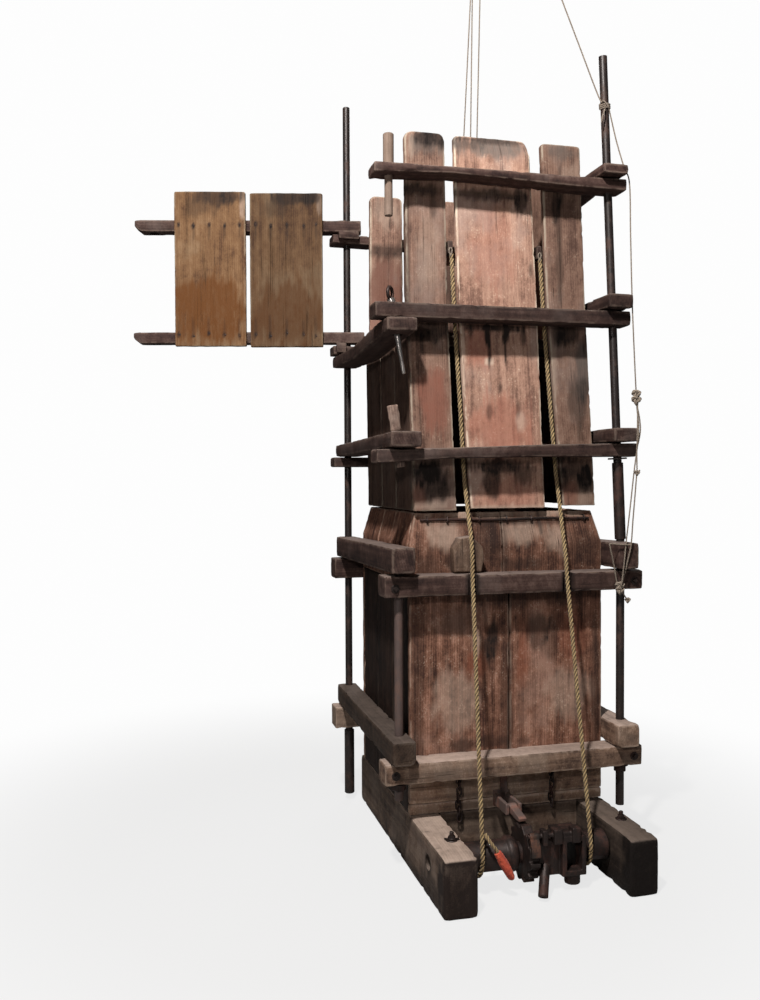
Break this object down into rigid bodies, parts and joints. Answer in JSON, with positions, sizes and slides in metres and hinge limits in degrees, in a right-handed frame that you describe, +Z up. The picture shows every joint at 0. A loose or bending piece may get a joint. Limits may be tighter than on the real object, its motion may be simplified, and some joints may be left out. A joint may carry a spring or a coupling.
{
  "type": "box baling press",
  "caption": "Tall wooden box baling press on skids, with a swinging filling door, a sliding platen pulled down by ropes, and a ratchet windlass",
  "frame": {"origin": "middle of the base of the bounding box, on the floor, free cords left out", "axes": "+Z up, +X to the right seen from the windlass side, -Y towards the windlass side"},
  "size_m": [1.7914, 1.3948, 3.385],
  "materials": {
    "box_boards": "weathered bare boards, salmon brown with dark stains, dry and rough",
    "door_boards": "lighter weathered bare boards with dark edges and nail rows",
    "lower_boards": "dark brown worn boards, slightly greasy, scratched",
    "rails": "sawn hardwood rails, nearly black on the sides with dusty grey-brown tops",
    "skids": "heavy dusty timber, dark ends and pale worn tops",
    "iron": "rusted dark iron with worn brighter edges",
    "dowel": "pale turned hardwood dowels, smooth and dry",
    "rope": "three-strand laid rope, yellow tan, dirty in the lay",
    "cord": "thin grey-brown laid cord"
  },
  "bodies": {
    "root": {"skid_left": "skids", "skid_right": "skids", "chamber_floor": "lower_boards", "lower_front_panel": "lower_boards", "lower_back_panel": "lower_boards", "lower_left_panel": "lower_boards", "lower_right_panel": "lower_boards", "collar": "lower_boards", "upper_front_board_left": "box_boards", "upper_front_board_middle": "box_boards", "upper_front_board_right": "box_boards", "upper_back_panel": "box_boards", "upper_left_panel": "box_boards", "upper_right_panel": "box_boards", "rail_e_front": "rails", "rail_d_front": "rails", "rail_c_front": "rails", "rail_b_front": "rails", "rail_a_front": "rails", "rail_e_back": "rails", "rail_d_back": "rails", "rail_c_back": "rails", "rail_b_back": "rails", "rail_a_back": "rails", "rail_e_left": "rails", "rail_d_left": "rails", "rail_c_left": "rails", "rail_b_left": "rails", "rail_e_right": "rails", "rail_d_right": "rails", "rail_c_right": "rails", "rail_b_right": "rails", "rail_a_right": "rails", "rod_rear_left": "iron", "rod_front_left": "iron", "rod_front_right": "iron", "rod_rear_right": "iron", "rope_guide_block": "rails", "pawl_bracket": "iron", "rope_left": "rope", "rope_right": "rope", "lift_cord_1": "cord", "lift_cord_2": "cord", "lift_cord_3": "cord", "lift_block": "iron", "tie_line": "cord", "tie_hook": "iron"},
    "door": {"door_rail_upper": "rails", "door_rail_lower": "rails", "door_board_inner": "door_boards", "door_board_outer": "door_boards"},
    "pin_top": {"pin_top": "dowel"},
    "pin_middle": {"pin_middle": "iron"},
    "pin_bottom": {"pin_bottom": "dowel"},
    "platen": {"platen": "box_boards"},
    "windlass": {"windlass_drum": "iron", "ratchet_wheel": "iron"},
    "lever": {"lever_socket": "iron"},
    "drive_pawl": {"driving_pawl": "iron"},
    "hold_pawl": {"holding_pawl": "iron"}
  },
  "joints": [
    {"name": "door_swing", "type": "hinge", "parent": "root", "child": "door", "pos_m": [-0.01133, 0.45963, 2.2], "axis": [0, 0, 1], "range_deg": [-75, 93]},
    {"name": "pin_top_slide", "type": "slide", "parent": "root", "child": "pin_top", "axis": [0, 0, 1], "range_m": [0, 0.168]},
    {"name": "pin_middle_slide", "type": "slide", "parent": "root", "child": "pin_middle", "axis": [-0.1731, 0, 0.9849], "range_m": [0, 0.2]},
    {"name": "pin_bottom_slide", "type": "slide", "parent": "root", "child": "pin_bottom", "axis": [-0.1401, 0, 0.9901], "range_m": [0, 0.12]},
    {"name": "platen_slide", "type": "slide", "parent": "root", "child": "platen", "axis": [0.0599, 0, -0.9982], "range_m": [0, 0.7], "deforming": ["rope_left", "rope_right", "lift_cord_1", "lift_cord_2", "lift_cord_3"]},
    {"name": "drum_spin", "type": "hinge", "parent": "root", "child": "windlass", "pos_m": [0.41067, -0.52537, 0.12], "axis": [1, 0, 0], "range_deg": [0, 690]},
    {"name": "lever_swing", "type": "hinge", "parent": "root", "child": "lever", "pos_m": [0.45067, -0.52537, 0.12], "axis": [1, 0, 0], "range_deg": [-42, 0]},
    {"name": "drive_pawl_swing", "type": "hinge", "parent": "lever", "child": "drive_pawl", "pos_m": [0.38067, -0.60237, 0.2], "axis": [1, 0, 0], "range_deg": [-50, 0]},
    {"name": "hold_pawl_swing", "type": "hinge", "parent": "root", "child": "hold_pawl", "pos_m": [0.38067, -0.41537, 0.232], "axis": [1, 0, 0], "range_deg": [-60, 0]}
  ],
  "couplings": [
    {"joint": "platen_slide", "follows": "drum_spin", "m_per_rad": 0.058}
  ]
}
